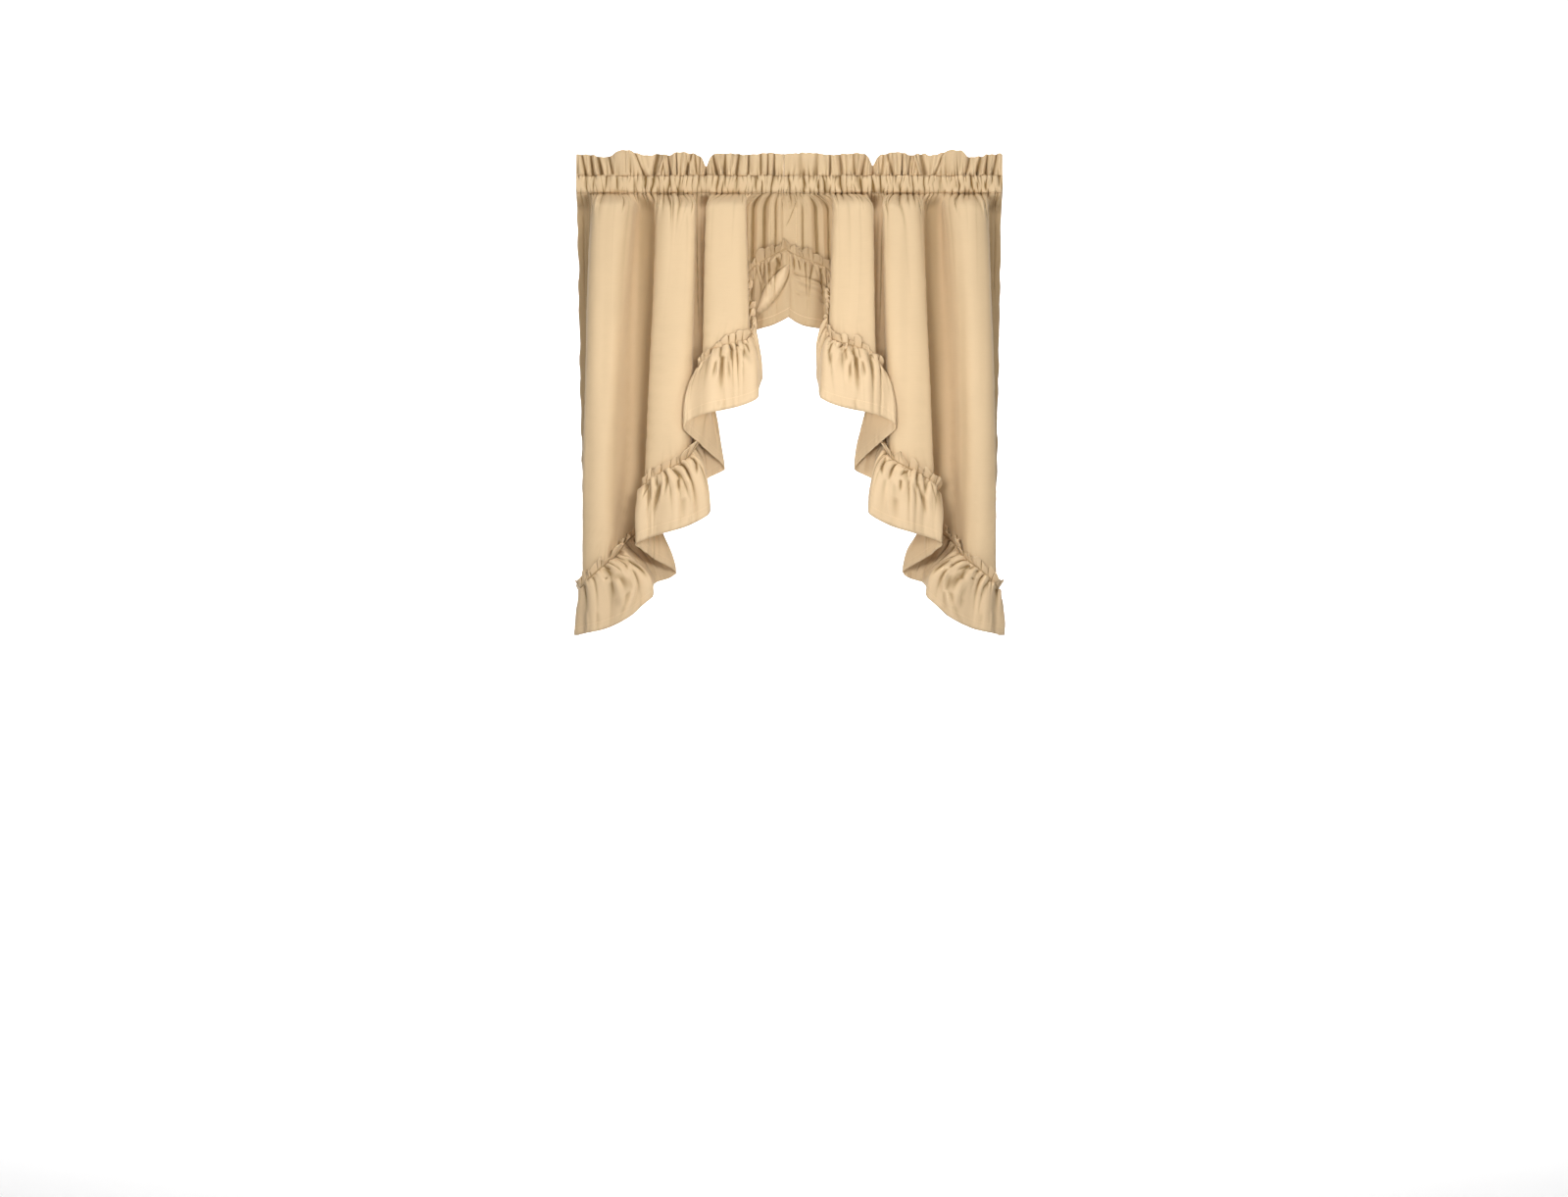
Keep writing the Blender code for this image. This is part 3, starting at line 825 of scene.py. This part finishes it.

    # Painted shade: darker in the gathers, along the seam and in the middle, but not on the leaf-shaped fold
    narrow = valleys(relief, run[0, 1], reach=4.5, depth=2.0)
    shade = np.maximum(0.85 * narrow, 0.66 * valleys(relief, run[0, 1], reach=12.0, depth=4.4))
    shade *= 1 - 0.7 * smooth(66, 124, below)
    shade[:HEADING_ROWS] = np.clip(1.5 * shade[:HEADING_ROWS], 0, 1)
    shade = np.maximum(shade, SEAM_SHADE * near(flat_down, 2.8))
    off_leaf = 1 - np.clip(leaf / 4, 0, 1)
    shade = np.maximum(shade, RUFFLE_CENTRE_SHADE * in_centre(swag, along) * off_leaf)
    relief[:HEADING_ROWS] = 0
    side_push[:HEADING_ROWS] = 0
    inner_end = 1 - smooth(0, 10, along)
    relief *= 1 - 0.8 * inner_end
    grid = grid + outwards(grid) * relief[..., None]
    grid = grid + tangent[None] * (side_push * ends)[..., None]
    if swag.side < 0:
        lapped = (1 - smooth(0, 26, along)) * smooth(-6, 14, flat_down)
        grid[..., 0] -= 10.0 * lapped * (1 - 0.55 * below / SKIRT_DEPTH)
        grid[..., 1] += 3.5 * lapped
    flat_across = along / swag.along[-1] * RUFFLE_FLAT[0] / MM
    return grid, flat_across, flat_down, shade


def pocket_sheet(swag, rod):
    """Rings of the rod pocket from its inner to its outer end: rows go round, columns along the rod."""
    out = np.linspace(meeting_out(swag.side), HALF_WIDTH, POCKET_COLUMNS + 1)
    turn = 2 * math.pi * (np.arange(POCKET_SIDES) + 0.5) / POCKET_SIDES
    out, turn = np.meshgrid(out, turn)
    c, s = np.cos(turn), np.sin(turn)
    size = (np.abs(c) ** POCKET_ROUNDNESS + np.abs(s) ** POCKET_ROUNDNESS) ** (-1 / POCKET_ROUNDNESS)
    share = size * s
    front = smooth(-0.3, 0.5, c)
    stitched = smooth(0.72, 1.0, np.abs(share))
    ripple = rod.at(out, share)
    behind = rod.at(out + BACK_SHIFT, -share)
    forward = size * c * POCKET_HALF_DEPTH
    forward += ripple * (front + (1 - front) * stitched)
    forward -= 1.2 * behind * (1 - front) * (1 - stitched)
    uneven = Swells(55, 30, swag.seed + 21)(out, share * POCKET_HALF_HEIGHT)
    forward += 0.9 * uneven * front * (1 - stitched)
    height = share * POCKET_HALF_HEIGHT + rod.teeth(out) * smooth(0.5, 1, share)
    pushed = out + rod.sideways(out, share) * front
    grid = np.stack([pushed, forward, -height], axis=2)
    flat_across = (out - out.min()) / np.ptp(out) * POCKET_FLAT[0] / MM
    flat_down = turn / (2 * math.pi) * POCKET_FLAT[1] / MM
    # Painted shade: darker in the valleys of the gathers, and a little darker all over
    spacing = out[0, 1] - out[0, 0]
    narrow = valleys(ripple, spacing, reach=4.0, depth=1.1)
    shade = 0.04 + 0.92 * np.maximum(narrow, 0.75 * valleys(ripple, spacing, reach=11.0, depth=2.4))
    return grid, flat_across, flat_down, shade


def frill_sheet(swag, rod):
    """The frill above the pocket: gathered where it is sewn, in uneven lobes at its upper edge."""
    lobes = np.array(FRILL, float)
    lobes[0, 0] = meeting_out(swag.side)
    steps = np.arange(len(FRILL))
    edge = Spline(steps, lobes)(np.linspace(0, steps[-1], FRILL_COLUMNS + 1))
    edge[:, 0] = np.clip(edge[:, 0], meeting_out(swag.side), HALF_WIDTH)
    share = np.linspace(1, 0, FRILL_ROWS + 1)[:, None]
    spread = np.maximum(0, share - 0.14) / 0.86
    out = np.broadcast_to(edge[:, 0], (FRILL_ROWS + 1, FRILL_COLUMNS + 1))
    forward = edge[:, 1] * spread**0.8
    foot = near(share, 0.3 * rod.upper.reach(out), 1.5)
    forward += rod.at(out, 1) * foot
    pleats = Gathers(-20, HALF_WIDTH, FRILL_PLEATS, swag.seed + 31)
    lifted = smooth(0, 0.2, share) * (1 - 0.5 * share)
    forward += pleats.relief(out + 6 * share * pleats.lean(out)) * lifted
    folded = np.zeros_like(forward)
    for fold in map(Fold._make, FRILL_FOLDS + INNER_FRILL_FOLDS[swag.word]):
        off = (out - fold.foot - (fold.edge - fold.foot) * share) / (fold.width * (1.1 - 0.35 * share))
        reach = smooth(-0.02, 0.1, share) * (1 - 0.45 * share)
        folded += FOLD_DEPTH * fold.height * reach * (1 - 0.8 * off**2) * np.exp(-(off**2))
    forward += folded
    # Painted shade: darker in the valleys of the pleats and folds, and a little darker all over
    spacing = out[0, 1] - out[0, 0]
    narrow = valleys(forward, spacing, reach=5.0, depth=2.4)
    shade = 0.04 + 0.8 * np.maximum(narrow, 0.75 * valleys(forward, spacing, reach=15.0, depth=4.8))
    forward += 1.2 * Swells(22, 40, swag.seed + 32)(out, 45 * share) * share
    ragged = Swells(16, ENDLESS, swag.seed + 33)(edge[:, 0], 0)
    teeth = rod.teeth(out) * (1 - smooth(0, 0.35, share))
    drop = -(STITCH_HEIGHT + share * (edge[:, 2] + ragged) + teeth)
    held = smooth(0, 12, out - out.min()) * smooth(0, 12, HALF_WIDTH - out)
    fan_out = out + 1.5 * share * np.cos(out / 12.0) * held
    grid = np.stack([fan_out, forward, drop], axis=2)
    flat_across = (out - out.min()) / np.ptp(out) * FRILL_FLAT[0] / MM
    flat_down = np.broadcast_to((1 - share) * FRILL_FLAT[1] / MM, out.shape)
    return grid, flat_across, flat_down, shade


def placed(name, data):
    """A new object in the scene."""
    made = bpy.data.objects.new(name, data)
    bpy.context.scene.collection.objects.link(made)
    return made


def sheet_object(name, side, sheet_points, material, closed=False):
    """A sheet of points made a mesh with its cut's own coordinates, then given the cloth's thickness."""
    grid, flat_across, flat_down, shade = sheet_points
    rows, columns = grid.shape[:2]
    points = grid.reshape(-1, 3) * (side, -1, -1) * MM
    number = np.arange(rows * columns).reshape(rows, columns)
    if closed:
        number = np.concatenate([number, number[:1]])
    corners = [number[:-1, :-1], number[1:, :-1], number[1:, 1:], number[:-1, 1:]]
    if side > 0:
        corners.reverse()
    faces = np.stack(corners, axis=2).reshape(-1, 4)
    mesh = bpy.data.meshes.new(name)
    mesh.from_pydata(points.tolist(), [], faces.tolist())
    mesh.validate()
    flat = mesh.uv_layers.new(name="Cut")
    cut = np.stack([flat_across, flat_down], axis=2).reshape(-1, 2) * MM
    flat.uv.foreach_set("vector", cut[faces.ravel()].astype(np.float32).ravel())
    # Painted shade, which the material uses to darken the cloth
    painted_shade = mesh.attributes.new("PaintedShade", "FLOAT", "POINT")
    painted_shade.data.foreach_set("value", np.broadcast_to(shade, grid.shape[:2]).astype(np.float32).ravel())
    mesh.shade_smooth()
    mesh.materials.append(material)
    sheet = placed(name, mesh)
    thick = sheet.modifiers.new("Thickness", "SOLIDIFY")
    thick.thickness = CLOTH * MM
    thick.offset = 0.0
    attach(sheet, "root")
    return sheet


def node(tree, kind, inputs=None, **settings):
    """A new node with its settings and the values of its inputs, which go by name or number."""
    made = tree.nodes.new(kind)
    for key, value in settings.items():
        setattr(made, key, value)
    for key, value in (inputs or {}).items():
        made.inputs[key].default_value = value
    return made


def calculated(tree, operation, *values):
    """The output of a Math node whose inputs are numbers or other outputs."""
    made = node(tree, "ShaderNodeMath", operation=operation)
    for socket, value in zip(made.inputs, values):
        if isinstance(value, bpy.types.NodeSocket):
            tree.links.new(value, socket)
        else:
            socket.default_value = value
    return made.outputs["Value"]


def ramp(tree, value, low, high, at_low, at_high):
    """The output of a Map Range node: at_low where the value is low, at_high where it is high."""
    ends = {"From Min": low, "From Max": high, "To Min": at_low, "To Max": at_high}
    made = node(tree, "ShaderNodeMapRange", ends)
    tree.links.new(value, made.inputs["Value"])
    return made.outputs["Result"]


def stitched(tree, cut, lines):
    """The thread of straight rows of stitches and the groove that each row draws into the cloth."""
    parts = node(tree, "ShaderNodeSeparateXYZ")
    tree.links.new(cut, parts.inputs["Vector"])
    thread, groove = 0.0, 0.0
    for axis, place in lines:
        other = "Y" if axis == "X" else "X"
        away = calculated(tree, "ABSOLUTE", calculated(tree, "SUBTRACT", parts.outputs[axis], place))
        turns = calculated(tree, "MULTIPLY", parts.outputs[other], 2 * math.pi / (STITCH_LENGTH * MM))
        dashes = ramp(tree, calculated(tree, "SINE", turns), -0.5, -0.2, 0.0, 1.0)
        line = ramp(tree, away, 0.00025, 0.0005, 1.0, 0.0)
        thread = calculated(tree, "MAXIMUM", thread, calculated(tree, "MULTIPLY", line, dashes))
        groove = calculated(tree, "MAXIMUM", groove, ramp(tree, away, 0.0004, 0.002, 1.0, 0.0))
    return thread, groove


def new_material(name):
    """A material and its shader."""
    made = bpy.data.materials.new(name)
    made.use_nodes = True
    return made, made.node_tree.nodes["Principled BSDF"]


def cloth_material(name, tone, roughness, lines):
    """Smooth camel cloth: a fine plain weave with slubs, soft uneven tone, a low sheen, stitched hems and
    painted shade stored on the mesh.
    """
    made, shader = new_material(name)
    tree = made.node_tree
    links = tree.links
    cut = node(tree, "ShaderNodeUVMap", uv_map="Cut")

    # Weave: warp and weft of a fine plain cloth
    weave = []
    yarn = {"Scale": 620.0, "Distortion": 0.8, "Detail": 1.0}
    for direction in ("X", "Y"):
        threads = node(tree, "ShaderNodeTexWave", yarn, wave_type="BANDS", bands_direction=direction)
        links.new(cut.outputs["UV"], threads.inputs["Vector"])
        weave.append(threads)
    crossing = calculated(tree, "MULTIPLY", weave[0].outputs["Fac"], weave[1].outputs["Fac"])

    # Slubs: short thick places in the crosswise yarn
    stretch = node(tree, "ShaderNodeMapping", {"Scale": (38.0, 900.0, 1.0)})
    links.new(cut.outputs["UV"], stretch.inputs["Vector"])
    slub = node(tree, "ShaderNodeTexNoise", {"Scale": 1.0, "Detail": 2.0})
    links.new(stretch.outputs["Vector"], slub.inputs["Vector"])

    # Soft uneven tone over the cloth
    place = node(tree, "ShaderNodeTexCoord")
    cloud = node(tree, "ShaderNodeTexNoise", {"Scale": 9.0, "Detail": 3.0})
    links.new(place.outputs["Object"], cloud.inputs["Vector"])

    dark = tuple(0.93 * c for c in tone)
    light = tuple(min(1.0, 1.05 * c) for c in tone)
    tones = node(tree, "ShaderNodeMix", {6: (*dark, 1), 7: (*light, 1)}, data_type="RGBA")
    links.new(cloud.outputs["Fac"], tones.inputs["Factor"])
    slubbed = node(tree, "ShaderNodeMix", {"Factor": 1.0}, data_type="RGBA", blend_type="MULTIPLY")
    links.new(tones.outputs[2], slubbed.inputs[6])
    links.new(ramp(tree, slub.outputs["Fac"], 0.3, 0.7, 0.985, 1.01), slubbed.inputs[7])

    # Painted shade: the shade stored on the mesh darkens the cloth towards the tint in the bottoms of the
    # gathers and in the recesses
    painted_shade = node(tree, "ShaderNodeAttribute", attribute_name="PaintedShade")
    gathered = node(tree, "ShaderNodeMix", {7: PAINTED_SHADE_TINT}, data_type="RGBA", blend_type="MULTIPLY")
    links.new(painted_shade.outputs["Fac"], gathered.inputs["Factor"])
    links.new(slubbed.outputs[2], gathered.inputs[6])

    # Stitches along the hems, in thread a little lighter than the cloth
    thread, groove = stitched(tree, cut.outputs["UV"], lines)
    pale = tuple(min(1.0, 1.12 * c) for c in tone)
    sewn = node(tree, "ShaderNodeMix", {7: (*pale, 1)}, data_type="RGBA")
    links.new(thread, sewn.inputs["Factor"])
    links.new(gathered.outputs[2], sewn.inputs[6])
    links.new(sewn.outputs[2], shader.inputs["Base Color"])

    # Roughness and relief
    rough = ramp(tree, slub.outputs["Fac"], 0.0, 1.0, roughness - 0.04, roughness + 0.04)
    links.new(rough, shader.inputs["Roughness"])
    woven = calculated(tree, "MULTIPLY_ADD", slub.outputs["Fac"], 0.5, crossing)
    sunk = calculated(tree, "MULTIPLY_ADD", groove, -2.5, woven)
    height = calculated(tree, "MULTIPLY_ADD", thread, 2.0, sunk)
    bump = node(tree, "ShaderNodeBump", {"Strength": 0.35, "Distance": 0.0003})
    links.new(height, bump.inputs["Height"])
    links.new(bump.outputs["Normal"], shader.inputs["Normal"])

    shader.inputs["Metallic"].default_value = 0.0
    shader.inputs["Specular IOR Level"].default_value = 0.35
    shader.inputs["Sheen Weight"].default_value = 0.25
    shader.inputs["Sheen Roughness"].default_value = 0.4
    shader.inputs["Sheen Tint"].default_value = (1.0, 0.9, 0.75, 1.0)
    return made


def build_swag(side, panel_cloth, ruffle_cloth):
    """The four sheets of one swag, each in place of its solid."""
    word = "left_" if side < 0 else "right_"
    rod = RodGathers(11 if side < 0 else 47)
    swag = Swag(side, PANEL_COLUMNS)
    seamed = Swag(side, RUFFLE_COLUMNS, even_seam=True)
    panel = sheet_object(word + "panel_cloth", side, panel_sheet(swag, rod), panel_cloth)
    ruffle = sheet_object(word + "ruffle_cloth", side, ruffle_sheet(seamed), ruffle_cloth)
    pocket = sheet_object(word + "pocket_cloth", side, pocket_sheet(swag, rod), panel_cloth, closed=True)
    frill = sheet_object(word + "frill_cloth", side, frill_sheet(swag, rod), panel_cloth)
    solids = {panel: "panel", pocket: "rod_pocket", frill: "heading_frill", ruffle: "ruffle"}
    for piece, solid in solids.items():
        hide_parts(word + solid)


def stage_material(name, colour, glow):
    made, shader = new_material(name)
    shader.inputs["Base Color"].default_value = colour
    shader.inputs["Roughness"].default_value = 0.9
    shader.inputs["Emission Color"].default_value = (1, 1, 1, 1)
    shader.inputs["Emission Strength"].default_value = glow
    return made


def build_stage():
    """A pale floor that sweeps up into a plain backdrop far behind the swags."""
    profile = [(-9.0, -FLOOR_DROP), (BACKDROP_BEHIND - SWEEP_RADIUS, -FLOOR_DROP)]
    for step in range(1, 13):
        turn = math.pi / 2 * step / 12
        behind = BACKDROP_BEHIND - SWEEP_RADIUS + SWEEP_RADIUS * math.sin(turn)
        profile.append((behind, -FLOOR_DROP + SWEEP_RADIUS * (1 - math.cos(turn))))
    profile.append((BACKDROP_BEHIND, 6.0))
    points = [(x, y, z) for y, z in profile for x in (-9.0, 9.0)]
    faces = [(2 * i, 2 * i + 1, 2 * i + 3, 2 * i + 2) for i in range(len(profile) - 1)]
    mesh = bpy.data.meshes.new("backdrop")
    mesh.from_pydata(points, [], faces)
    mesh.shade_smooth()
    mesh.materials.append(stage_material("floor_white", (0.88, 0.88, 0.88, 1), 0.0))
    mesh.materials.append(stage_material("backdrop_white", (0.9, 0.9, 0.9, 1), 0.75))
    for polygon in mesh.polygons[1:]:
        polygon.material_index = 1
    backdrop = placed("backdrop", mesh)


def area_light(name, place, target, size, power):
    data = bpy.data.lights.new(name, "AREA")
    data.shape = "RECTANGLE"
    data.size, data.size_y = size
    data.energy = power
    light = placed(name, data)
    light.location = place
    aim = Vector(target) - Vector(place)
    light.rotation_mode = "QUATERNION"
    light.rotation_quaternion = aim.to_track_quat("-Z", "Y")
    light.visible_camera = False


def build_lights():
    """Soft light from both sides, from above and from the middle in front, and on the floor behind."""
    area_light("left_box", (-2.0, -1.8, -0.5), (0, 0, -0.55), (0.7, 1.1), 12)
    area_light("right_box", (2.0, -1.8, -0.5), (0, 0, -0.55), (0.7, 1.1), 12)
    area_light("top_box", (0.0, -1.3, 1.5), (0, 0, -0.3), (1.4, 0.6), 28)
    area_light("middle_lamp", (0.0, -0.9, -0.46), (0, 0, -0.46), (0.26, 0.3), 4.5)
    area_light("floor_lamp", (0.0, 3.4, 1.8), (0, 3.4, -2.0), (4.0, 2.4), 220)
    world = bpy.data.worlds.new("studio")
    world.use_nodes = True
    background = world.node_tree.nodes["Background"]
    background.inputs["Color"].default_value = (1, 1, 1, 1)
    background.inputs["Strength"].default_value = 0.17
    bpy.context.scene.world = world


def build_camera():
    """Level and square to the pair, as in the photograph."""
    data = bpy.data.cameras.new("camera")
    data.sensor_width = 36.0
    data.lens = CAMERA_LENS
    camera = placed("camera", data)
    camera.location = CAMERA_PLACE
    camera.rotation_euler = (math.pi / 2, 0, 0)
    bpy.context.scene.camera = camera


build_camera()
side_hem = SIDE_HEM * PANEL_FLAT[0] / Swag(1, 10).knots[-1]
side_stitches = (("X", side_hem), ("X", PANEL_FLAT[0] - side_hem))
ruffle_stitches = (("Y", (SKIRT_DEPTH - LOWER_HEM) * MM), ("Y", 0.0))
panel_cloth = cloth_material("camel_cloth", PANEL_TONE, PANEL_ROUGHNESS, side_stitches)
ruffle_cloth = cloth_material("camel_ruffle_cloth", RUFFLE_TONE, RUFFLE_ROUGHNESS, ruffle_stitches)
for side in (-1, 1):
    build_swag(side, panel_cloth, ruffle_cloth)
build_stage()
build_lights()
bpy.context.scene.view_settings.view_transform = "Standard"
